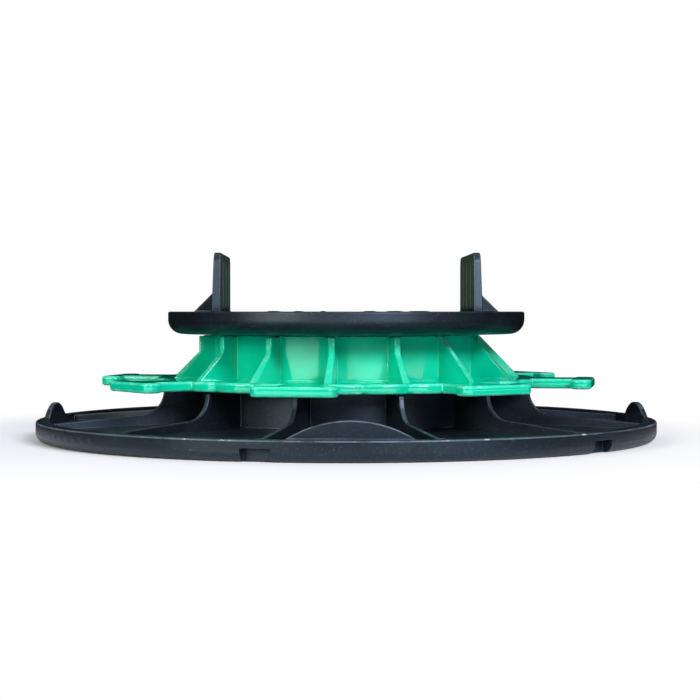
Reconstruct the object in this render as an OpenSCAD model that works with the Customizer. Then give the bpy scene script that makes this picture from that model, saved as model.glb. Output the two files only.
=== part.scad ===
// Adjustable screw-jack pedestal for decking joists, shown at its lowest setting.
// A base plate carries a turning collar, and the collar's thread lifts the joist head.
// Millimetres, +Z up, origin on the ground under the axis, the front faces -Y.

/* [Setting] */
// Height of the joist seat above the ground at the lowest setting
seat_height = 41; // [39:0.5:46]
// Gap between faces that turn or slide on each other
run_clearance = 0.3; // [0.2:0.05:0.4]
// How far a rib stays back from the edge of the wall that it runs into
rib_setback = 0.3; // [0.2:0.05:0.6]

/* [Base plate] */
// Outer diameter of the base plate
base_d = 200; // [185:1:230]
// Height of the rim round the base plate
rim_h = 6.2; // [5:0.1:7]
// Radial width of the rim
rim_w = 4.6; // [4:0.1:7]
// Radius of the rim's lower outer corner
rim_corner_r = 2.8; // [1:0.1:3.5]
// Thickness of the floor between rim and column
floor_t = 2.4; // [1.8:0.1:2.8]
// Height of the floor's top where it meets the column
floor_inner_z = 5.4; // [4.8:0.1:6]
// Height of the floor's top where it meets the rim, lower so that water runs out
floor_outer_z = 4; // [3:0.1:4.6]
// Height of the column that the collar turns in
column_h = 16.4; // [15.5:0.1:17.5]
// Wall of the column
column_wall = 4; // [3:0.1:5]
// Height of the undercut at the column's foot that the collar's bead snaps into
snap_h = 4; // [3:0.1:5]
// Number of radial ribs on the base plate
base_rib_count = 12; // [8:1:16]
// Thickness of a base rib
base_rib_t = 1.7; // [1.4:0.1:3]
// Length of a base rib's flat top outside the column
base_rib_shelf = 12.8; // [9:0.1:16]
// Radius of the hollow curve between a base rib's shelf and its ridge
base_rib_curve_r = 8; // [6:0.1:9.4]

/* [Base lugs and notches] */
// Number of upright lugs round the rim
lug_count = 4; // [2:1:6]
// Height of a rim lug's top above the rim
lug_rise = 5.2; // [3:0.1:8]
// Width of a rim lug at the level of the rim
lug_chord = 36; // [24:0.5:44]
// Thickness of a rim lug
lug_t = 1.2; // [1:0.1:3]
// Width of a clip notch in the rim
notch_w = 8.8; // [6:0.1:12]
// Height of a clip notch's top above the ground
notch_h = 3.9; // [3:0.1:4.5]
// Depth of a clip notch
notch_depth = 3.4; // [2:0.1:3.8]
// Angle of the first clip notch, counter-clockwise from the front
notch_angle_a = -15.1; // [-24:0.1:-12]
// Angle of the second clip notch, counter-clockwise from the front
notch_angle_b = 47.3; // [36:0.1:54]

/* [Collar] */
// Bore of the collar's tube, which carries the thread
collar_bore_d = 80; // [72:0.5:84]
// Wall of the collar's tube
collar_wall = 3; // [2.4:0.1:4]
// Thickness of the flange with the hand tabs
flange_t = 3.1; // [2.4:0.1:4]
// Radius of the flange's plain ring
ring_r = 59.8; // [56:0.1:64]
// Number of hand tabs
tab_count = 8; // [6:1:8]
// Distance from the axis to the tip of a tab
tab_reach = 80; // [74:0.1:90]
// Width of a tab's head
tab_w = 25.4; // [18:0.1:28]
// Radial length of a tab's head
tab_head_l = 6.6; // [6:0.1:9]
// Width of a tab's neck
tab_neck_w = 14; // [8:0.1:18]
// Corner radius of a tab's head
tab_corner_r = 2.8; // [0.5:0.1:3]
// Angle of the first tab, counter-clockwise from the front
tab_angle = -11.8; // [-45:0.1:45]
// Number of finger lobes on the ring between two tabs
lobe_count = 3; // [1:1:3]
// Radius of a finger lobe
lobe_r = 12; // [9:0.1:16]
// How far a lobe stands out of the ring
lobe_rise = 2.2; // [1:0.1:3.5]
// Angle from one lobe to the next
lobe_pitch = 13; // [9:0.1:13]
// Number of upright ribs round the tube
collar_rib_count = 15; // [12:1:18]
// How many of those ribs keep a square shoulder under the head
shoulder_rib_count = 8; // [0:1:12]
// Thickness of an upright rib
collar_rib_t = 2.1; // [1.6:0.1:3]
// Radial length of an upright rib at its foot
collar_rib_foot = 13.4; // [9:0.1:15]
// Radial length of a rib's shoulder
shoulder_l = 5.2; // [2:0.1:7]
// Height of a rib's shoulder
shoulder_h = 5; // [3:0.1:7]
// Angle of the first upright rib, counter-clockwise from the front
collar_rib_angle = -6; // [-24:0.1:24]
// Gap between the tube's lower end and the ground
collar_foot_gap = 1.4; // [1:0.1:2]
// How far the snap bead stands out of the tube
bead_l = 1.1; // [0.8:0.05:1.3]
// Height of the snap bead
bead_h = 1.8; // [1.2:0.1:2]
// Number of slots that let the snap bead spring
slot_count = 6; // [4:1:8]
// Width of a spring slot
slot_w = 2.4; // [1.5:0.1:4]
// Height of a spring slot
slot_h = 9; // [6:0.1:11]

/* [Head] */
// Diameter of the joist head
head_d = 115.8; // [110:0.2:130]
// Height of the head's rim
head_h = 7.2; // [6:0.1:9]
// Radius of the head's lower outer corner
head_corner_r = 4.6; // [2:0.1:5]
// Radial width of the head's rim
head_rim_w = 5.9; // [5.2:0.1:8]
// Thickness of the joist seat
plate_t = 3.2; // [2.4:0.1:4]
// Number of ribs under the joist seat
head_rib_count = 12; // [8:1:18]
// Thickness of a rib under the joist seat
head_rib_t = 2.2; // [1.6:0.1:3]
// Depth of the thread between stem and collar, left open here
thread_depth = 2; // [1.5:0.1:2.5]
// Wall of the hollow threaded stem
stem_wall = 3.4; // [2.4:0.1:4]
// Gap between the stem's lower end and the ground
stem_foot_gap = 3; // [2:0.1:4]
// Clear width between the two joist lugs
joist_gap = 78.6; // [60:0.2:82]
// Length of a joist lug along the joist
joist_lug_l = 54; // [40:0.5:62]
// Height of a joist lug above the seat
joist_lug_h = 18.4; // [12:0.1:26]
// Thickness of a joist lug at its foot
joist_lug_foot_t = 2.9; // [2.2:0.1:4]
// Thickness of a joist lug at its top
joist_lug_top_t = 2.2; // [1.6:0.1:2.9]
// Corner radius of a joist lug
joist_lug_corner_r = 3.2; // [1:0.1:5]
// Leg of the triangular gusset behind a joist lug
gusset_leg = 7.4; // [4:0.1:9]
// Thickness of a gusset
gusset_t = 2.4; // [1.6:0.1:3]

/* [Hidden] */
$fn = 96;
// How far a cutter or a root reaches into its neighbour
bite = 0.5;
base_r = base_d / 2;
rim_inner_r = base_r - rim_w;
collar_bore_r = collar_bore_d / 2;
collar_r = collar_bore_r + collar_wall;
column_bore_r = collar_r + run_clearance;
column_r = column_bore_r + column_wall;
snap_r = collar_r + bead_l + run_clearance;
lug_arc_r = (pow(lug_chord / 2, 2) + pow(lug_rise, 2)) / (2 * lug_rise);
flange_z = column_h + run_clearance;
flange_top_z = flange_z + flange_t;
head_z = seat_height - head_h;
collar_top_z = head_z - run_clearance;
bead_top_z = snap_h - run_clearance;
head_r = head_d / 2;
stem_r = collar_bore_r - thread_depth;
tab_pitch = 360 / tab_count;
collar_rib_pitch = 360 / collar_rib_count;
collar_green = "#0cc795";
moulded_black = "#23272c";

// Piece of a square corner that a rounding of radius r takes off; the corner is at the origin
module corner_waste(r) {
    difference() {
        translate([-bite, -bite])
            square(r + bite);
        translate([r, r])
            circle(r);
    }
}

// A plate that stands on a radius: its outline has the radius along X and the height along Y
module radial_plate(angle, thickness) {
    rotate([90, 0, angle - 90])
        translate([0, 0, -thickness / 2])
            linear_extrude(thickness)
                children();
}

// Section of rim, floor and column, with the snap undercut at the column's foot
module base_section() {
    difference() {
        union() {
            translate([rim_inner_r, 0])
                square([rim_w, rim_h]);
            polygon([
                [column_bore_r + bite, floor_inner_z],
                [column_r, floor_inner_z],
                [rim_inner_r + bite, floor_outer_z],
                [rim_inner_r + bite, floor_outer_z - floor_t],
                [column_r, floor_inner_z - floor_t],
                [column_bore_r + bite, floor_inner_z - floor_t]
            ]);
            translate([column_bore_r, 0])
                square([column_wall, column_h]);
        }
        translate([base_r, 0])
            mirror([1, 0])
                corner_waste(rim_corner_r);
        translate([column_bore_r - bite, -bite])
            square([snap_r - column_bore_r + bite, snap_h + bite]);
    }
}

// Side of a base rib: a flat shelf under the flange, a hollow curve, and a ridge down to the rim
module base_rib_side() {
    shelf_z = column_h - rib_setback;
    shelf_end = column_r + base_rib_shelf;
    ridge_start = shelf_end + base_rib_curve_r;
    difference() {
        polygon([
            [column_r - bite, floor_inner_z - floor_t / 2],
            [column_r - bite, shelf_z],
            [ridge_start, shelf_z],
            [ridge_start, shelf_z - base_rib_curve_r],
            [rim_inner_r + bite, rim_h - rib_setback],
            [rim_inner_r + bite, floor_outer_z - floor_t / 2]
        ]);
        translate([ridge_start, shelf_z])
            circle(base_rib_curve_r);
    }
}

// An upright circular segment that stands just inside the rim
module rim_lug(angle) {
    rotate(angle - 90)
        translate([rim_inner_r - lug_t, 0, 0])
            rotate([90, 0, 90])
                linear_extrude(lug_t + bite)
                    intersection() {
                        translate([0, rim_h + lug_rise - lug_arc_r])
                            circle(lug_arc_r);
                        translate([-lug_chord, floor_outer_z - floor_t / 2])
                            square([2 * lug_chord, rim_h + lug_rise]);
                    }
}

// A square pocket in the rim's outer face, open below, for a linking clip
module clip_notch(angle) {
    rotate(angle - 90)
        translate([base_r - notch_depth, -notch_w / 2, -bite])
            cube([notch_depth + bite, notch_w, notch_h + bite]);
}

module base_plate() {
    color(moulded_black)
        difference() {
            union() {
                rotate_extrude()
                    base_section();
                for (i = [0:base_rib_count - 1])
                    radial_plate((i + 0.5) * 360 / base_rib_count, base_rib_t)
                        base_rib_side();
                for (i = [0:lug_count - 1])
                    rim_lug(i * 360 / lug_count);
            }
            for (angle = [notch_angle_a, notch_angle_b], side = [0, 180])
                clip_notch(angle + side);
        }
}

// Rounded rectangle for a tab's head, from the tip inwards along -X
module tab_head() {
    reach = tab_reach - tab_head_l;
    translate([reach, -tab_w / 2 + tab_corner_r])
        square([tab_head_l, tab_w - 2 * tab_corner_r]);
    translate([reach + tab_corner_r, -tab_w / 2])
        square([tab_head_l - 2 * tab_corner_r, tab_w]);
    for (x = [reach + tab_corner_r, tab_reach - tab_corner_r], side = [-1, 1])
        translate([x, side * (tab_w / 2 - tab_corner_r)])
            circle(tab_corner_r);
}

// Plan of the flange: a ring with finger lobes, and T-shaped hand tabs
module flange_plan() {
    lobe_seat = ring_r + lobe_rise - lobe_r;
    circle(ring_r);
    for (i = [0:tab_count - 1])
        rotate(tab_angle - 90 + i * tab_pitch) {
            tab_head();
            translate([ring_r - lobe_r, -tab_neck_w / 2])
                square([tab_reach - ring_r + lobe_r - tab_head_l / 2, tab_neck_w]);
            for (k = [0:lobe_count - 1])
                rotate(tab_pitch / 2 + (k - (lobe_count - 1) / 2) * lobe_pitch)
                    translate([lobe_seat, 0])
                        circle(lobe_r);
        }
}

// Side of an upright rib: it slopes from the flange to the tube, with or without a square shoulder
module collar_rib_side(has_shoulder) {
    top = has_shoulder ? shoulder_l : bite;
    top_z = collar_top_z - rib_setback;
    knee_z = has_shoulder ? top_z - shoulder_h : top_z;
    slope = (collar_rib_foot - top) / (knee_z - flange_top_z);
    polygon([
        [collar_r - bite, flange_top_z - bite],
        [collar_r - bite, top_z],
        [collar_r + top, top_z],
        [collar_r + top, knee_z],
        [collar_r + collar_rib_foot + slope * bite, flange_top_z - bite]
    ]);
}

// Section of the tube with the snap bead at its foot
module collar_section() {
    translate([collar_bore_r, collar_foot_gap])
        square([collar_wall, collar_top_z - collar_foot_gap]);
    polygon([
        [collar_r - bite, bead_top_z - bead_h],
        [collar_r, bead_top_z - bead_h],
        [collar_r + bead_l, bead_top_z - bead_h / 3],
        [collar_r + bead_l, bead_top_z],
        [collar_r - bite, bead_top_z]
    ]);
}

module adjusting_collar() {
    color(collar_green)
        difference() {
            union() {
                rotate_extrude()
                    collar_section();
                translate([0, 0, flange_z])
                    linear_extrude(flange_t)
                        difference() {
                            flange_plan();
                            circle(collar_r - bite);
                        }
                for (i = [0:collar_rib_count - 1])
                    radial_plate(collar_rib_angle - (i - 1) * collar_rib_pitch, collar_rib_t)
                        collar_rib_side(i < shoulder_rib_count);
            }
            for (i = [0:slot_count - 1])
                rotate(i * 360 / slot_count)
                    translate([collar_bore_r - bite, -slot_w / 2, collar_foot_gap - bite])
                        cube([collar_wall + bead_l + 2 * bite, slot_w, slot_h + bite]);
        }
}

// Section of the head: joist seat, rounded rim and hollow stem
module head_section() {
    translate([0, seat_height - plate_t])
        square([head_r - head_rim_w + bite, plate_t]);
    translate([stem_r - stem_wall, stem_foot_gap])
        square([stem_wall, seat_height - plate_t - stem_foot_gap + bite]);
    difference() {
        translate([head_r - head_rim_w, head_z])
            square([head_rim_w, head_h]);
        translate([head_r, head_z])
            mirror([1, 0])
                corner_waste(head_corner_r);
    }
}

// An upright lug with a drafted outer face, rounded upper corners and a gusset behind it
module joist_lug() {
    top_z = seat_height + joist_lug_h;
    inner = joist_gap / 2;
    intersection() {
        rotate([90, 0, 0])
            translate([0, 0, -joist_lug_l / 2])
                linear_extrude(joist_lug_l)
                    polygon([
                        [inner, seat_height - bite],
                        [inner, top_z],
                        [inner + joist_lug_top_t, top_z],
                        [inner + joist_lug_foot_t, seat_height],
                        [inner + joist_lug_foot_t, seat_height - bite]
                    ]);
        rotate([90, 0, 90])
            linear_extrude(head_r)
                difference() {
                    translate([-joist_lug_l / 2, seat_height - bite])
                        square([joist_lug_l, joist_lug_h + bite]);
                    for (side = [0, 1])
                        mirror([side, 0])
                            translate([joist_lug_l / 2, top_z])
                                rotate(180)
                                    corner_waste(joist_lug_corner_r);
                }
    }
    radial_plate(90, gusset_t)
        polygon([
            [inner + joist_lug_top_t / 2, seat_height - bite],
            [inner + joist_lug_top_t / 2, seat_height + gusset_leg],
            [inner + joist_lug_foot_t, seat_height + gusset_leg],
            [inner + joist_lug_foot_t + gusset_leg + bite, seat_height - bite]
        ]);
}

module joist_head() {
    color(moulded_black) {
        rotate_extrude()
            head_section();
        for (i = [0:head_rib_count - 1])
            radial_plate((i + 0.5) * 360 / head_rib_count, head_rib_t)
                translate([stem_r - stem_wall / 2, head_z + rib_setback])
                    square([
                        head_r - head_rim_w + bite - stem_r + stem_wall / 2,
                        head_h - plate_t - rib_setback + bite
                    ]);
        for (turn = [0, 180])
            rotate(turn)
                joist_lug();
    }
}

base_plate();
adjusting_collar();
joist_head();
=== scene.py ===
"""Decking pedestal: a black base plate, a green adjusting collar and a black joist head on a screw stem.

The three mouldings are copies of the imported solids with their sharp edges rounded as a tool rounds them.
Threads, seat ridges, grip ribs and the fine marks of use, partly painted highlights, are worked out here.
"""
import math

import bmesh
import bpy
import numpy as np
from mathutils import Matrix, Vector


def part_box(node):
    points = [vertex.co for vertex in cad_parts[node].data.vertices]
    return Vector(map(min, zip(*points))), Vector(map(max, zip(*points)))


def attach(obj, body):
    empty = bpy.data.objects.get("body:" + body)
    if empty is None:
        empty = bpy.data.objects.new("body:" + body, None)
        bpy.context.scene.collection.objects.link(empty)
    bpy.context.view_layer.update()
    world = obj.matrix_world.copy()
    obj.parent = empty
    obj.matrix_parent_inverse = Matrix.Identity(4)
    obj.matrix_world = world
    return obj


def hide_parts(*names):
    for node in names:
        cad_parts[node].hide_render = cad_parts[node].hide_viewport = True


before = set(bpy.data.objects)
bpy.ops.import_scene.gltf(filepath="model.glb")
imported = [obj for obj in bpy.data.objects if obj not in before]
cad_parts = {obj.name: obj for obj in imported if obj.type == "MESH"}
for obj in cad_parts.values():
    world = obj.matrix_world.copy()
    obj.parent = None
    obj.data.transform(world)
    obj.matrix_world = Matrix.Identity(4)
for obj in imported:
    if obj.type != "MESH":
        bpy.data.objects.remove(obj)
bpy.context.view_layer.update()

MM = 0.001


def corners(node):
    """A solid's lowest and highest corner, in millimetres to the nearest tenth."""
    return [np.round(np.array(corner) / MM, 1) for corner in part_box(node)]


# Sizes that the solids' own boxes give, in millimetres
BASE_R = corners("base_plate")[1][0]
COLLAR_TOP_Z = corners("adjusting_collar")[1][2]
HEAD_LOW, HEAD_HIGH = corners("joist_head")
HEAD_R, STEM_FOOT_Z, LUG_TOP_Z = HEAD_HIGH[0], HEAD_LOW[2], HEAD_HIGH[2]

# The solids' other sizes, in millimetres
RIM_H, RIM_CORNER_R = 6.2, 2.8
COLUMN_R = 47.3
FLANGE_LOW_Z, FLANGE_TOP_Z = 16.7, 19.8
TUBE_R, RIB_FOOT_R = 43.0, 56.4
BORE_R, SLOT_TOP_Z = 40.0, 10.4
STEM_R, HEAD_RIB_Z = 38.0, 34.1
HEAD_Z, HEAD_CORNER_R = 33.8, 4.6
SEAT_Z = 41.0
JOIST_GAP, LUG_L = 78.6, 54.0

# The two threads: their pitch, their crests' radii, and how far short of its wall's ends each one stops
THREAD_PITCH = 5.0
STEM_CREST_R, BORE_CREST_R = 39.6, 38.4
THREAD_END = 2.0

# Low ridges along the joist keep it from sliding on the seat; they end on a circle round the axis
RIDGES_X = (-23.5, -15.5, -7.5, 7.5, 15.5, 23.5)
RIDGE_END_R = 54.0
RIDGE_W, RIDGE_H = 1.8, 0.2

# Fine upright ribs on the lugs' inner faces bite into the joist
GRIPS_Y = (-14.5, 0, 14.5)
GRIP_LOW_Z, GRIP_HIGH_Z = SEAT_Z + 0.6, LUG_TOP_Z - 2.4
GRIP_W, GRIP_H = 1.3, 0.25

# Corners closer than this are one, and neighbouring faces that turn by less than this are one
WELD_GAP = 0.004
FLAT_DEG = 0.6

# An edge that turns by more than this is rounded; the curved walls' facets turn by less
SHARP_DEG = 50
MAX_RADIUS = 1.0

# Along a swept piece an edge that turns by more than this stays crisp
CRISP_DEG = 35

# The flat of a rib's edge, between its two roundings, is narrower than this
STRIP_W = 1.6

# How far in from the base's edge its corner, its notches, its rim and the rim's lugs reach
CORNER_IN, NOTCH_IN, RIM_IN, RIM_LUG_IN = 1.0, 4.0, 6.0, 9.0

# Two heights closer than this are level
LEVEL = 0.1


def linear(hex_code):
    """An sRGB hex colour as linear RGBA."""
    part = np.array([int(hex_code[i:i + 2], 16) for i in (1, 3, 5)]) / 255
    flat = np.where(part <= 0.04045, part / 12.92, ((part + 0.055) / 1.055) ** 2.4)
    return (*flat.tolist(), 1.0)


def add(tree, kind, sockets=None, **settings):
    """One node with its settings; a socket, by name or number, takes a value or the output that feeds it.

    By number, a mix of colours has its share at 0 and its colours at 6 and 7, and a map range has the range
    that it reads at 1 and 2 and the one that it gives at 3 and 4.
    """
    made = tree.nodes.new(kind)
    for name, value in settings.items():
        setattr(made, name, value)
    for name, value in (sockets or {}).items():
        if isinstance(value, bpy.types.NodeSocket):
            tree.links.new(value, made.inputs[name])
        else:
            made.inputs[name].default_value = value
    return made


def new_material(name):
    """A material without nodes, and its tree."""
    material = bpy.data.materials.new(name)
    material.use_nodes = True
    material.node_tree.nodes.clear()
    return material, material.node_tree


def black_polypropylene():
    """Black polypropylene, injection moulded in a spark-eroded tool.

    To the eye: blue-black and satin, with a fine pale speckle and soft flow patches, greyer edges from use
    and as a painted highlight, and white scuffs where the rim takes knocks; the lugs carry a painted
    greenish reflection on their inner faces and a painted pale highlight on their ends. The "edge"
    attribute is up to 1 on a handled edge and 2 on one that takes knocks.
    """
    material, tree = new_material("black_polypropylene_spark_grain")
    place = add(tree, "ShaderNodeTexCoord").outputs["Object"]
    axes = add(tree, "ShaderNodeSeparateXYZ", {0: place}).outputs
    edge = add(tree, "ShaderNodeAttribute", attribute_name="edge").outputs["Fac"]

    # Flow of the melt leaves soft patches about 18 mm across
    flow = add(tree, "ShaderNodeTexNoise", {
        "Vector": place, "Scale": 1 / (18 * MM), "Detail": 3.0, "Roughness": 0.55}).outputs["Fac"]
    patch = add(tree, "ShaderNodeMapRange", {"Value": flow, 1: 0.3, 2: 0.7, 3: 0.0, 4: 1.0}).outputs[0]
    body = add(tree, "ShaderNodeMix", {
        0: patch, 6: linear("#0a1015"), 7: linear("#121a21")}, data_type="RGBA").outputs[2]

    # The tool's grain is about 0.1 mm; it is drawn at 0.7 mm so that it shows as a speckle
    grain = add(tree, "ShaderNodeTexNoise", {
        "Vector": place, "Scale": 1 / (0.7 * MM), "Detail": 2.0, "Roughness": 0.6}).outputs["Fac"]
    speck = add(tree, "ShaderNodeMapRange", {"Value": grain, 1: 0.58, 2: 0.76, 3: 0.0, 4: 0.7}).outputs[0]
    body = add(tree, "ShaderNodeMix", {
        0: speck, 6: body, 7: linear("#38424d")}, data_type="RGBA").outputs[2]

    # Painted greenish-grey reflection on the lugs' inner faces; painted pale highlight on their end faces,
    # one stronger
    aside = add(tree, "ShaderNodeMath", {0: axes["X"]}, operation="ABSOLUTE").outputs[0]
    inside = add(tree, "ShaderNodeMapRange", {
        "Value": aside, 1: (JOIST_GAP / 2 + 0.12) * MM, 2: (JOIST_GAP / 2 + 0.02) * MM,
        3: 0.0, 4: 1.0}).outputs[0]
    along = add(tree, "ShaderNodeMath", {0: axes["Y"]}, operation="ABSOLUTE").outputs[0]
    at_end = add(tree, "ShaderNodeMapRange", {
        "Value": along, 1: (LUG_L / 2 - 0.12) * MM, 2: (LUG_L / 2 - 0.02) * MM, 3: 0.0, 4: 1.0}).outputs[0]
    above = add(tree, "ShaderNodeMapRange", {
        "Value": axes["Z"], 1: (SEAT_Z + 0.4) * MM, 2: (SEAT_Z + 2.0) * MM, 3: 0.0, 4: 0.85}).outputs[0]
    painted_lug_reflection = add(tree, "ShaderNodeMath", {0: inside, 1: above}, operation="MULTIPLY").outputs[0]
    body = add(tree, "ShaderNodeMix", {
        0: painted_lug_reflection, 6: body, 7: linear("#42564a")}, data_type="RGBA").outputs[2]
    # Painted pale highlight on the lugs' end faces, stronger on the +X lug
    stronger_on_plus_x = add(tree, "ShaderNodeMapRange", {
        "Value": axes["X"], 1: -JOIST_GAP / 2 * MM, 2: JOIST_GAP / 2 * MM, 3: 0.5, 4: 1.0}).outputs[0]
    painted_end_highlight = add(tree, "ShaderNodeMath", {0: at_end, 1: above}, operation="MULTIPLY").outputs[0]
    painted_end_highlight = add(tree, "ShaderNodeMath", {0: painted_end_highlight, 1: stronger_on_plus_x}, operation="MULTIPLY").outputs[0]
    body = add(tree, "ShaderNodeMix", {
        0: painted_end_highlight, 6: body, 7: linear("#444f58")}, data_type="RGBA").outputs[2]

    # Edges are greyer, from rubbing and as a painted highlight, more in some places than others, every 7 mm
    # or so
    edge_patchiness = add(tree, "ShaderNodeTexNoise", {
        "Vector": place, "Scale": 1 / (7 * MM), "Detail": 4.0, "Roughness": 0.65}).outputs["Fac"]
    edge_wear_and_highlight = add(tree, "ShaderNodeMapRange", {"Value": edge_patchiness, 1: 0.38, 2: 0.66, 3: 0.15, 4: 0.9}).outputs[0]
    edge_wear_and_highlight = add(tree, "ShaderNodeMath", {0: edge_wear_and_highlight, 1: edge}, operation="MULTIPLY", use_clamp=True).outputs[0]
    body = add(tree, "ShaderNodeMix", {
        0: edge_wear_and_highlight, 6: body, 7: linear("#525d68")}, data_type="RGBA").outputs[2]

    # Knocks leave white scuffs 1 to 5 mm long
    knock = add(tree, "ShaderNodeTexNoise", {
        "Vector": place, "Scale": 1 / (6 * MM), "Detail": 5.0, "Roughness": 0.7}).outputs["Fac"]
    knock = add(tree, "ShaderNodeMapRange", {"Value": knock, 1: 0.55, 2: 0.64, 3: 0.0, 4: 0.9}).outputs[0]
    edge_over = add(tree, "ShaderNodeMath", {
        0: edge, 1: 1.0}, operation="SUBTRACT", use_clamp=True).outputs[0]
    scuff = add(tree, "ShaderNodeMath", {0: knock, 1: edge_over}, operation="MULTIPLY").outputs[0]
    body = add(tree, "ShaderNodeMix", {
        0: scuff, 6: body, 7: linear("#bcc4cc")}, data_type="RGBA").outputs[2]

    rough = add(tree, "ShaderNodeMapRange", {"Value": flow, 1: 0.3, 2: 0.7, 3: 0.36, 4: 0.44}).outputs[0]
    bump = add(tree, "ShaderNodeBump", {
        "Height": grain, "Strength": 0.4, "Distance": 0.07 * MM}).outputs["Normal"]
    # The gloss is tinted blue: a painted tint that stands in for bluish light in what it mirrors
    shader = add(tree, "ShaderNodeBsdfPrincipled", {
        "Base Color": body, "Roughness": rough, "IOR": 1.49, "Specular IOR Level": 0.65,
        "Specular Tint": linear("#cce7ff"), "Normal": bump})
    add(tree, "ShaderNodeOutputMaterial", {"Surface": shader.outputs[0]})
    return material


def green_polypropylene():
    """Green polypropylene, injection moulded in a polished tool.

    To the eye: glossy and a little milky, so that its walls mirror the bright sheet in front, with faint
    ripples, and with paler edges, from use and as a painted highlight, that carry whitish scuffs.
    """
    material, tree = new_material("green_polypropylene_polished_tool")
    place = add(tree, "ShaderNodeTexCoord").outputs["Object"]
    edge = add(tree, "ShaderNodeAttribute", attribute_name="edge").outputs["Fac"]

    # Flow of the melt leaves soft patches about 14 mm across
    flow = add(tree, "ShaderNodeTexNoise", {
        "Vector": place, "Scale": 1 / (14 * MM), "Detail": 3.0, "Roughness": 0.5}).outputs["Fac"]
    patch = add(tree, "ShaderNodeMapRange", {"Value": flow, 1: 0.3, 2: 0.7, 3: 0.0, 4: 1.0}).outputs[0]
    body = add(tree, "ShaderNodeMix", {
        0: patch, 6: linear("#01c29c"), 7: linear("#06cda8")}, data_type="RGBA").outputs[2]

    # Edges are paler, from use and as a painted highlight, more in some places than others, and scuffed
    # whitish in places 1 to 4 mm long
    knock = add(tree, "ShaderNodeTexNoise", {
        "Vector": place, "Scale": 1 / (5 * MM), "Detail": 5.0, "Roughness": 0.7}).outputs["Fac"]
    pale = add(tree, "ShaderNodeMapRange", {"Value": knock, 1: 0.36, 2: 0.64, 3: 0.15, 4: 0.75}).outputs[0]
    pale = add(tree, "ShaderNodeMath", {0: pale, 1: edge}, operation="MULTIPLY", use_clamp=True).outputs[0]
    body = add(tree, "ShaderNodeMix", {
        0: pale, 6: body, 7: linear("#6ceccb")}, data_type="RGBA").outputs[2]
    knock = add(tree, "ShaderNodeMapRange", {"Value": knock, 1: 0.56, 2: 0.7, 3: 0.0, 4: 0.8}).outputs[0]
    scuff = add(tree, "ShaderNodeMath", {
        0: knock, 1: edge}, operation="MULTIPLY", use_clamp=True).outputs[0]
    body = add(tree, "ShaderNodeMix", {
        0: scuff, 6: body, 7: linear("#a8f2dc")}, data_type="RGBA").outputs[2]

    # The skin ripples every 2 mm or so, which breaks the gloss up a little
    ripple = add(tree, "ShaderNodeTexNoise", {
        "Vector": place, "Scale": 1 / (2.2 * MM), "Detail": 2.0, "Roughness": 0.5}).outputs["Fac"]
    rough = add(tree, "ShaderNodeMapRange", {"Value": ripple, 1: 0.3, 2: 0.7, 3: 0.06, 4: 0.085}).outputs[0]
    bump = add(tree, "ShaderNodeBump", {
        "Height": ripple, "Strength": 0.06, "Distance": 0.06 * MM}).outputs["Normal"]
    shader = add(tree, "ShaderNodeBsdfPrincipled", {
        "Base Color": body, "Roughness": rough, "IOR": 1.49, "Specular IOR Level": 0.6, "Normal": bump,
        "Subsurface Weight": 0.12, "Subsurface Radius": (0.4, 1.0, 0.8), "Subsurface Scale": 1.5 * MM})
    add(tree, "ShaderNodeOutputMaterial", {"Surface": shader.outputs[0]})
    return material


BLACK = black_polypropylene()
GREEN = green_polypropylene()


def place_piece(name, mesh, material, body):
    """Links a finished mesh, gives it its material and lets it ride on a body."""
    piece = bpy.data.objects.new(name, mesh)
    bpy.context.scene.collection.objects.link(piece)
    mesh.materials.clear()
    mesh.materials.append(material)
    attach(piece, body)
    return piece


def merged_copy(node, radius_at):
    """A solid's triangles with shared corners joined and flat neighbours made one face.

    Each sharp edge carries its radius as a share of MAX_RADIUS. radius_at gives that radius in millimetres
    from the edge's middle, as distance from the axis and height.
    """
    bm = bmesh.new()
    bm.from_mesh(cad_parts[node].data)
    bmesh.ops.remove_doubles(bm, verts=bm.verts, dist=WELD_GAP * MM)
    bmesh.ops.dissolve_limit(bm, angle_limit=math.radians(FLAT_DEG), verts=bm.verts, edges=bm.edges)
    turn = np.array([edge.calc_face_angle(0.0) for edge in bm.edges])
    mesh = bpy.data.meshes.new(node + "_copy")
    bm.to_mesh(mesh)
    bm.free()
    ends = np.empty(len(mesh.edges) * 2, np.int64)
    mesh.edges.foreach_get("vertices", ends)
    place = np.empty(len(mesh.vertices) * 3)
    mesh.vertices.foreach_get("co", place)
    middle = place.reshape(-1, 3)[ends.reshape(-1, 2)].mean(1) / MM
    radius = radius_at(np.hypot(middle[:, 0], middle[:, 1]), middle[:, 2])
    weight = np.where(turn > math.radians(SHARP_DEG), radius / MAX_RADIUS, 0.0)
    layer = mesh.attributes.new("bevel_weight_edge", "FLOAT", "EDGE")
    layer.data.foreach_set("value", weight.astype(np.float32))
    return mesh


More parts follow.
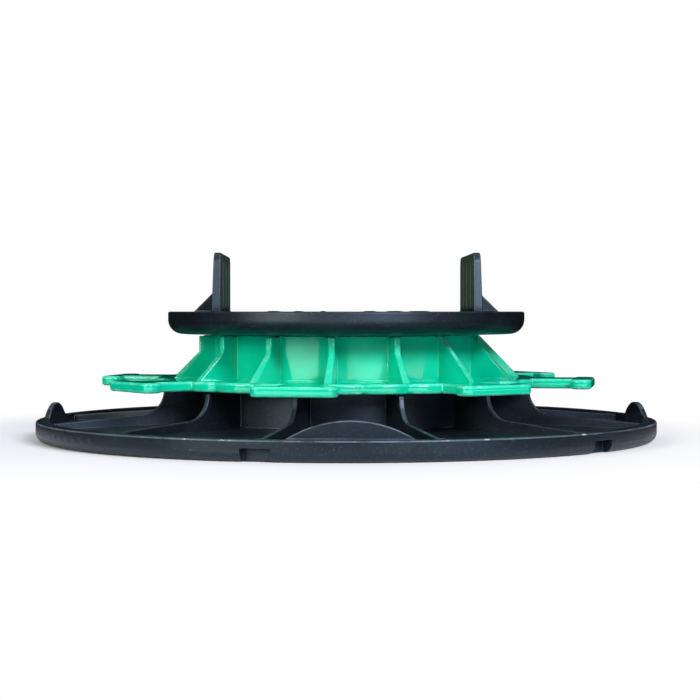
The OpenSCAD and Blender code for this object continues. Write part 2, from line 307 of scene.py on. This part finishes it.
def edge_attribute(mesh, is_round, wear_and_highlight_at, strip_at):
    """Marks the roundings, and the narrow faces along ribs' edges, with the share of use marks and painted
    highlight that the materials read.

    A rounding's middle rows get plus that share on an outer edge and minus it in an inner corner: the
    mean of a vertex's neighbours lies behind it, along its normal, on an outer edge and before it in a
    corner. A narrow face, which the materials draw lighter as a painted highlight and from use, has a
    width, twice its area over its outline's length, under STRIP_W, where strip_at allows one. Returns which
    faces are narrow.
    """
    verts, edges, loops, faces = len(mesh.vertices), len(mesh.edges), len(mesh.loops), len(mesh.polygons)
    place = np.empty(verts * 3)
    mesh.vertices.foreach_get("co", place)
    place = place.reshape(-1, 3)
    normal = np.empty(verts * 3)
    mesh.vertices.foreach_get("normal", normal)
    normal = normal.reshape(-1, 3)
    ends = np.empty(edges * 2, np.int64)
    mesh.edges.foreach_get("vertices", ends)
    a, b = ends.reshape(-1, 2).T
    count = np.bincount(ends, minlength=verts)
    mean = np.stack([
        np.bincount(a, place[b, k], verts) + np.bincount(b, place[a, k], verts) for k in range(3)], 1)
    bulge = ((place - mean / count[:, None]) * normal).sum(1)

    corner, side = np.empty(loops, np.int64), np.empty(loops, np.int64)
    mesh.loops.foreach_get("vertex_index", corner)
    mesh.loops.foreach_get("edge_index", side)
    total, area, centre = np.empty(faces, np.int64), np.empty(faces), np.empty(faces * 3)
    mesh.polygons.foreach_get("loop_total", total)
    mesh.polygons.foreach_get("area", area)
    mesh.polygons.foreach_get("center", centre)
    centre = centre.reshape(-1, 3) / MM
    length = np.linalg.norm(place[a] - place[b], axis=1)[side]
    outline = np.bincount(np.repeat(np.arange(faces), total), length, faces)
    strip = ~is_round & (2 * area < STRIP_W * MM * outline)
    strip &= strip_at(np.hypot(centre[:, 0], centre[:, 1]), centre[:, 2])

    wear_and_highlight = wear_and_highlight_at(np.hypot(place[:, 0], place[:, 1]) / MM, place[:, 2] / MM)
    on_flat = np.bincount(corner, np.repeat(~is_round & ~strip, total), verts) > 0
    on_strip = np.bincount(corner, np.repeat(strip, total), verts) > 0
    value = np.where(on_flat, 0.0, np.sign(bulge) * wear_and_highlight)[corner]
    marked = np.repeat(is_round | strip, total) & on_strip[corner]
    value = np.where(marked, wear_and_highlight[corner], value)
    layer = mesh.attributes.new("edge", "FLOAT", "CORNER")
    layer.data.foreach_set("value", value.astype(np.float32))
    return strip


def true_normals(mesh, strip, wall):
    """Gives narrow faces their own flat normal, and a rim's curved wall the normals of the true surface.

    A wall is given as its radius, its foot's height, its lower corner's radius and its top's height. Above
    the corner the normal points straight out from the axis. In the corner it points away from the corner's
    centre circle, which lies one corner radius in from the wall and up from the foot.
    """
    loops, faces = len(mesh.loops), len(mesh.polygons)
    normal = np.empty(loops * 3)
    mesh.corner_normals.foreach_get("vector", normal)
    normal = normal.reshape(-1, 3)
    total, own = np.empty(faces, np.int64), np.empty(faces * 3)
    mesh.polygons.foreach_get("loop_total", total)
    mesh.polygons.foreach_get("normal", own)
    flat = np.repeat(own.reshape(-1, 3), total, axis=0)
    normal = np.where(np.repeat(strip, total)[:, None], flat, normal)
    if wall:
        outer_r, low_z, corner_r, top_z = wall
        corner = np.empty(loops, np.int64)
        mesh.loops.foreach_get("vertex_index", corner)
        place = np.empty(len(mesh.vertices) * 3)
        mesh.vertices.foreach_get("co", place)
        x, y, z = place.reshape(-1, 3)[corner].T / MM
        r = np.maximum(np.hypot(x, y), 0.001)
        out, down = r - (outer_r - corner_r), np.minimum(z - (low_z + corner_r), 0)
        reach = np.maximum(np.hypot(out, down), 0.001)
        true = np.stack([x / r * out / reach, y / r * out / reach, down / reach], 1)
        # What lies within 0.35 mm of the wall and leans at most 32 degrees from it takes the wall's normal
        on_wall = (np.abs(reach - corner_r) < 0.35) & (out > 0) & (z < top_z)
        agrees = (true * normal).sum(1) > math.cos(math.radians(32))
        normal = np.where((on_wall & agrees)[:, None], true, normal)
    mesh.normals_split_custom_set(normal.tolist())


def rounded_moulding(name, node, material, body, radius_at, wear_and_highlight_at, strip_at, wall=None):
    """A copy of a solid whose sharp edges are rolled over to their radius, as the tool leaves them."""
    mesh = merged_copy(node, radius_at)
    mesh.shade_smooth()
    scratch = bpy.data.objects.new(name + "_scratch", mesh)
    bpy.context.scene.collection.objects.link(scratch)
    mesh.materials.clear()
    mesh.materials.append(material)
    mesh.materials.append(material)
    bevel = scratch.modifiers.new("rounding", "BEVEL")
    bevel.width = MAX_RADIUS * MM
    bevel.segments = 4
    bevel.limit_method = "WEIGHT"
    bevel.use_clamp_overlap = False
    bevel.material = 1
    # Large faces keep their own normal and the small roundings bend to meet them; curved walls run smooth
    shading = scratch.modifiers.new("shading", "WEIGHTED_NORMAL")
    shading.mode = "FACE_AREA"
    shading.weight = 50
    graph = bpy.context.evaluated_depsgraph_get()
    final = bpy.data.meshes.new_from_object(scratch.evaluated_get(graph))
    final.name = name
    bpy.data.objects.remove(scratch)
    bpy.data.meshes.remove(mesh)
    index = np.empty(len(final.polygons), np.int32)
    final.polygons.foreach_get("material_index", index)
    strip = edge_attribute(final, index == 1, wear_and_highlight_at, strip_at)
    final.polygons.foreach_set("material_index", np.zeros_like(index))
    true_normals(final, strip, wall)
    piece = place_piece(name, final, material, body)
    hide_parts(node)


def base_radius(r, z):
    """0.5 mm on the rim's upper edges, 0.2 mm round the notches, 0.35 mm on the rest."""
    rim_top = (r > BASE_R - RIM_IN) & (np.abs(z - RIM_H) < LEVEL)
    notch = (r > BASE_R - NOTCH_IN) & (z < RIM_H - 0.5)
    return np.where(rim_top, 0.5, np.where(notch, 0.2, 0.35))


def base_wear_and_highlight(r, z):
    """Lighter edges, from use and as a painted highlight: the rim's outer upper edge takes knocks, its lugs
    a few, and the other edges are only handled.
    """
    lug = (r > BASE_R - RIM_LUG_IN) & (z > RIM_H + 0.3)
    rim = (r > BASE_R - CORNER_IN) & (z > RIM_H - 0.8)
    return np.where(lug, 1.25, np.where(rim, 2.0, 0.8))


def collar_radius(r, z):
    """0.9 mm on the flange's outline, where hands push, and 0.35 mm on the rest."""
    level = np.minimum(np.abs(z - FLANGE_TOP_Z), np.abs(z - FLANGE_LOW_Z)) < LEVEL
    return np.where((r > RIB_FOOT_R + 1) & level, 0.9, 0.35)


def collar_wear_and_highlight(r, z):
    """Lighter edges, from use and as a painted highlight: hands and boots reach the flange's outline most.
    """
    return np.where(r > RIB_FOOT_R + 1, 0.9, 0.5)


def head_radius(r, z):
    """0.6 mm on the seat's outer edge and 0.4 mm on the rest."""
    seat_edge = (r > HEAD_R - 1) & (np.abs(z - SEAT_Z) < LEVEL)
    return np.where(seat_edge, 0.6, 0.4)


def head_wear_and_highlight(r, z):
    """Lighter edges, from use and as a painted highlight: the lugs' edges are handled, the seat's edge
    hardly.
    """
    return np.where(z > SEAT_Z + 0.5, 0.9, 0.15)


def base_strip(r, z):
    """Ribs outside the column and lugs above the rim."""
    return (r > COLUMN_R + 1) & (r < BASE_R - 4.4) & (z > RIM_H - 0.4)


def collar_strip(r, z):
    """Ribs outside the tube and above the flange."""
    return (r > TUBE_R + 1) & (z > FLANGE_TOP_Z + 0.4)


def head_strip(r, z):
    """None: the head's ribs are out of reach, and its lugs' faces get a painted reflection and highlight in
    the material instead.
    """
    return r < 0


rounded_moulding("base_moulding", "base_plate", BLACK, "base", base_radius, base_wear_and_highlight,
                 base_strip, (BASE_R, 0.0, RIM_CORNER_R, RIM_H - 0.4))
rounded_moulding("collar_moulding", "adjusting_collar", GREEN, "collar", collar_radius,
                 collar_wear_and_highlight, collar_strip)
rounded_moulding("head_moulding", "joist_head", BLACK, "head", head_radius, head_wear_and_highlight,
                 head_strip, (HEAD_R, HEAD_Z, HEAD_CORNER_R, SEAT_Z - 0.5))


def closed_sweep(name, rings):
    """Mesh from rings of points: quads join each ring to the next, and both end rings are capped."""
    steps, points = rings.shape[:2]
    i, j = np.meshgrid(np.arange(steps - 1), np.arange(points), indexing="ij")
    k = (j + 1) % points
    quads = np.stack([i * points + j, i * points + k, (i + 1) * points + k, (i + 1) * points + j], -1)
    caps = [list(range(points))[::-1], list(range((steps - 1) * points, steps * points))]
    mesh = bpy.data.meshes.new(name)
    mesh.from_pydata((rings.reshape(-1, 3) * MM).tolist(), [], quads.reshape(-1, 4).tolist() + caps)
    bm = bmesh.new()
    bm.from_mesh(mesh)
    bmesh.ops.recalc_face_normals(bm, faces=bm.faces)
    bm.to_mesh(mesh)
    bm.free()
    mesh.shade_smooth()
    mesh.set_sharp_from_angle(angle=math.radians(CRISP_DEG))
    return mesh


def thread_ridge(name, root_r, crest_r, low_z, high_z):
    """A screw ridge: a trapezoid carried along a helix.

    At turn t, in degrees, the ridge's middle is at angle t and at height low + pitch * t / 360.
    The trapezoid runs from a foot sunk 0.2 mm under the root radius to the crest, and its height
    grows from nothing over the first 25 degrees and falls away over the last 25.
    """
    steps_a_turn, run_out, sunk = 96, 25, 0.2
    turns = (high_z - low_z) / THREAD_PITCH
    angle = np.linspace(0, 360 * turns, int(turns * steps_a_turn) + 1)
    rise = np.clip(np.minimum(angle, angle[-1] - angle) / run_out, 0.02, 1)
    depth = crest_r - root_r
    # Half of the section, from foot to crest: share of the depth, and height beside the middle
    half_share = np.array([0.0, 0.0, 0.35, 0.85, 1.0])
    half_beside = np.array([1.25, 1.2, 1.0, 0.72, 0.55])
    share = np.concatenate([half_share, half_share[::-1]])
    beside = np.concatenate([-half_beside, half_beside[::-1]])
    r = root_r + depth * share[None, :] * rise[:, None]
    r[:, [0, -1]] -= sunk * np.sign(depth)
    a = np.radians(angle)[:, None]
    z = low_z + THREAD_PITCH * angle[:, None] / 360 + beside[None, :]
    rings = np.stack([r * np.cos(a), r * np.sin(a), z], -1)
    return closed_sweep(name, rings)


def low_bead(start, end, across, up, width, height):
    """Rings of a low bead: a half ellipse carried from start to end, its height fading out at both ends.

    At share v of the way the height is the full height times the root of 1 minus (2v - 1) to the power 8,
    and the foot is sunk 0.15 mm. The 24 rings lie closer together towards the ends, on a cosine.
    """
    sunk = 0.15
    v = (1 - np.cos(np.pi * np.linspace(0, 1, 24))) / 2
    path = np.asarray(start) + (np.asarray(end) - np.asarray(start)) * v[:, None]
    fade = np.sqrt(np.clip(1 - np.abs(2 * v - 1) ** 8, 0.0004, 1))
    u = np.linspace(0, np.pi, 9)
    side = np.concatenate([np.cos(u), [-1.0, 1.0]]) * width / 2
    lift = np.concatenate([np.sin(u) * height, [-sunk, -sunk]])
    lift = np.where(lift > 0, lift * fade[:, None], lift)
    return (path[:, None, :] + side[None, :, None] * np.asarray(across)
            + lift[:, :, None] * np.asarray(up))


def joined(name, parts):
    """One mesh from several swept meshes."""
    bm = bmesh.new()
    for part in parts:
        bm.from_mesh(part)
        bpy.data.meshes.remove(part)
    mesh = bpy.data.meshes.new(name)
    bm.to_mesh(mesh)
    bm.free()
    mesh.shade_smooth()
    return mesh


stem_thread = thread_ridge(
    "stem_thread", STEM_R, STEM_CREST_R, STEM_FOOT_Z + THREAD_END, HEAD_RIB_Z - THREAD_END)
place_piece("stem_thread", stem_thread, BLACK, "head")
bore_thread = thread_ridge(
    "bore_thread", BORE_R, BORE_CREST_R, SLOT_TOP_Z + THREAD_END, COLLAR_TOP_Z - THREAD_END)
place_piece("bore_thread", bore_thread, GREEN, "collar")

ridges = [
    closed_sweep("ridge", low_bead(
        (x, -math.sqrt(RIDGE_END_R ** 2 - x * x), SEAT_Z), (x, math.sqrt(RIDGE_END_R ** 2 - x * x), SEAT_Z),
        (1, 0, 0), (0, 0, 1), RIDGE_W, RIDGE_H))
    for x in RIDGES_X]
place_piece("seat_ridges", joined("seat_ridges", ridges), BLACK, "head")

grips = [
    closed_sweep("grip", low_bead(
        (side * JOIST_GAP / 2, y, GRIP_LOW_Z), (side * JOIST_GAP / 2, y, GRIP_HIGH_Z),
        (0, 1, 0), (-side, 0, 0), GRIP_W, GRIP_H))
    for side in (-1, 1) for y in GRIPS_Y]
place_piece("lug_grip_ribs", joined("lug_grip_ribs", grips), BLACK, "head")


def white_paper():
    """White paper, uncoated: matt, so that it takes the part's shadow.

    Beyond the shadow it shows as plain white. Under the lamps it is brighter than that, which shows only in
    reflections. Distances are in metres.
    """
    camera_fade, mirror_fade, mirrored_glow = (0.07, 0.18), (0.12, 0.3), 2.6
    to_key_side = (0.02, 0, 0)
    material, tree = new_material("white_paper_sheet")
    path = add(tree, "ShaderNodeLightPath").outputs
    place = add(tree, "ShaderNodeTexCoord").outputs["Object"]
    # The camera sees white from close by, closer on the key lamp's side; reflections only beyond the shadow
    place = add(tree, "ShaderNodeVectorMath", {0: place, 1: to_key_side}, operation="ADD").outputs[0]
    away = add(tree, "ShaderNodeVectorMath", {0: place}, operation="LENGTH").outputs["Value"]
    near = add(tree, "ShaderNodeMapRange", {
        "Value": away, 1: camera_fade[0], 2: camera_fade[1], 3: 0.0, 4: 1.0},
        interpolation_type="SMOOTHSTEP").outputs[0]
    far = add(tree, "ShaderNodeMapRange", {
        "Value": away, 1: mirror_fade[0], 2: mirror_fade[1], 3: 0.0, 4: 1.0},
        interpolation_type="SMOOTHSTEP").outputs[0]
    direct = add(tree, "ShaderNodeMath", {
        0: path["Is Camera Ray"], 1: near}, operation="MULTIPLY").outputs[0]
    bounced = add(tree, "ShaderNodeMath", {
        0: path["Is Glossy Ray"], 1: path["Is Transmission Ray"]}, operation="MAXIMUM").outputs[0]
    bounced = add(tree, "ShaderNodeMath", {0: bounced, 1: far}, operation="MULTIPLY").outputs[0]
    white = add(tree, "ShaderNodeMath", {0: direct, 1: bounced}, operation="MAXIMUM").outputs[0]
    bright = add(tree, "ShaderNodeMapRange", {
        "Value": path["Is Glossy Ray"], 1: 0.0, 2: 1.0, 3: 1.0, 4: mirrored_glow}).outputs[0]
    paper = add(tree, "ShaderNodeBsdfDiffuse", {"Color": linear("#f4f5fc")})
    glow = add(tree, "ShaderNodeEmission", {"Color": (1, 1, 1, 1), "Strength": bright})
    mix = add(tree, "ShaderNodeMixShader", {0: white, 1: paper.outputs[0], 2: glow.outputs[0]})
    add(tree, "ShaderNodeOutputMaterial", {"Surface": mix.outputs[0]})
    return material


def black_felt():
    """Black felt, pressed wool, for screens seen only in reflections: it takes nearly all light, so that
    what mirrors it stays dark, a painted shade.
    """
    material, tree = new_material("black_felt_screen")
    felt = add(tree, "ShaderNodeBsdfDiffuse", {"Color": linear("#0c0d0f")})
    add(tree, "ShaderNodeOutputMaterial", {"Surface": felt.outputs[0]})
    return material


PAPER = white_paper()
FELT = black_felt()


def studio_floor():
    """A flat square sheet of paper, 12 m wide, under the part."""
    half = 6.0
    corner = [(-half, -half, 0), (half, -half, 0), (half, half, 0), (-half, half, 0)]
    mesh = bpy.data.meshes.new("floor")
    mesh.from_pydata(corner, [], [(0, 1, 2, 3)])
    mesh.materials.append(PAPER)
    floor = bpy.data.objects.new("floor", mesh)
    bpy.context.scene.collection.objects.link(floor)


def studio_world():
    """Even soft light from all round; the camera, and reflections above the screens, see white."""
    world = bpy.data.worlds.new("studio")
    bpy.context.scene.world = world
    world.use_nodes = True
    tree = world.node_tree
    tree.nodes.clear()
    path = add(tree, "ShaderNodeLightPath").outputs
    even = add(tree, "ShaderNodeBackground", {"Color": linear("#e6ecff"), "Strength": 0.15})
    white = add(tree, "ShaderNodeBackground", {"Color": (1, 1, 1, 1), "Strength": 1.0})
    seen = add(tree, "ShaderNodeMath", {
        0: path["Is Camera Ray"], 1: path["Is Glossy Ray"]}, operation="MAXIMUM").outputs[0]
    seen = add(tree, "ShaderNodeMath", {
        0: seen, 1: path["Is Transmission Ray"]}, operation="MAXIMUM").outputs[0]
    mix = add(tree, "ShaderNodeMixShader", {0: seen, 1: even.outputs[0], 2: white.outputs[0]})
    add(tree, "ShaderNodeOutputWorld", {"Surface": mix.outputs[0]})


def soft_box(name, place, size, watts, colour, lights, mirrored):
    """A soft lamp aimed at the part's middle, which lights it, is mirrored in its gloss, or both."""
    middle = Vector((0, 0, 0.03))
    lamp = bpy.data.lights.new(name, "AREA")
    lamp.shape = "RECTANGLE"
    lamp.size, lamp.size_y = size
    lamp.energy = watts
    lamp.color = linear(colour)[:3]
    lit = bpy.data.objects.new(name, lamp)
    lit.location = place
    lit.rotation_euler = (middle - Vector(place)).to_track_quat("-Z", "Y").to_euler()
    lit.visible_diffuse = lights
    lit.visible_glossy = mirrored
    bpy.context.scene.collection.objects.link(lit)


def dark_screen(name, first, last, profile):
    """A dark curved screen seen in reflections only, which keeps the black mouldings black: painted shade in
    what they mirror.

    Sizes are in metres. A profile of (distance, height) points is carried round the axis: its point (r, z)
    at angle a is (r sin a, -r cos a, z), with a from first to last degrees counter-clockwise from the front.
    """
    angle = np.radians(np.linspace(first, last, 72))[:, None]
    r, z = np.array(profile).T
    place = np.stack([r * np.sin(angle), -r * np.cos(angle), z + 0 * angle], -1)
    steps, points = place.shape[:2]
    i, j = np.meshgrid(np.arange(steps - 1), np.arange(points - 1), indexing="ij")
    start = i * points + j
    quads = np.stack([start, start + 1, start + points + 1, start + points], -1)
    mesh = bpy.data.meshes.new(name)
    mesh.from_pydata(place.reshape(-1, 3).tolist(), [], quads.reshape(-1, 4).tolist())
    mesh.materials.append(FELT)
    screen = bpy.data.objects.new(name, mesh)
    screen.visible_camera = False
    screen.visible_diffuse = False
    screen.visible_shadow = False
    bpy.context.scene.collection.objects.link(screen)


studio_floor()
studio_world()
dark_screen("dark_wall", 0, 360, [(1.7, 0.002), (1.7, 1.2), (1.4, 1.9)])
# In reflections the sheet is bright in front, at some distance, and dark, as painted shade, where these
# screens cover it: first and last angle in degrees, then the near and the far distance
for side, first, last, near, far in (
        ("close", 0, 360, 0.115, 0.2), ("front", -24, 0, 0.55, 1.7), ("right", 0, 42, 0.98, 1.7),
        ("far_right", 42, 76, 0.84, 1.7), ("near_right", 42, 76, 0.2, 0.48), ("back", 76, 305, 0.2, 1.7)):
    dark_screen("painted_reflection_shade_" + side, first, last, [(near, 0.001), (far, 0.002)])
soft_box("left_box", (-0.83, -0.86, 0.43), (0.6, 0.55), 10.5, "#fff9ea", True, True)
soft_box("right_box", (0.49, -1.1, 0.56), (0.6, 0.5), 17.0, "#e8ecff", False, True)
soft_box("key_box", (0.5, -0.85, 0.58), (0.6, 0.3), 12.3, "#fbfcff", True, False)
soft_box("back_box", (-0.35, 1.0, 0.7), (0.8, 0.5), 5.0, "#f4f7ff", True, False)

# The photograph's viewpoint: level with the seat, 560 mm from the axis, turned 0.7 degrees
PHOTO_PX, FOCAL_PX = 700, 1714
VIEW_DISTANCE = 560.0
VIEW_TURN = math.radians(0.7)
# In the photograph the seat is this far above the frame's middle, and the axis this far left of it
SEAT_UP_PX, AXIS_LEFT_PX = 38.5, 3.7
camera_data = bpy.data.cameras.new("camera")
camera_data.sensor_width = 36.0
camera_data.lens = 36.0 * FOCAL_PX / PHOTO_PX
camera = bpy.data.objects.new("camera", camera_data)
camera.location = (
    -VIEW_DISTANCE * MM * math.sin(VIEW_TURN), -VIEW_DISTANCE * MM * math.cos(VIEW_TURN), SEAT_Z * MM)
camera.rotation_euler = (
    math.radians(90) - math.atan2(SEAT_UP_PX, FOCAL_PX), 0, -VIEW_TURN - math.atan2(AXIS_LEFT_PX, FOCAL_PX))
bpy.context.scene.collection.objects.link(camera)
bpy.context.scene.camera = camera

bpy.context.scene.view_settings.view_transform = "Standard"
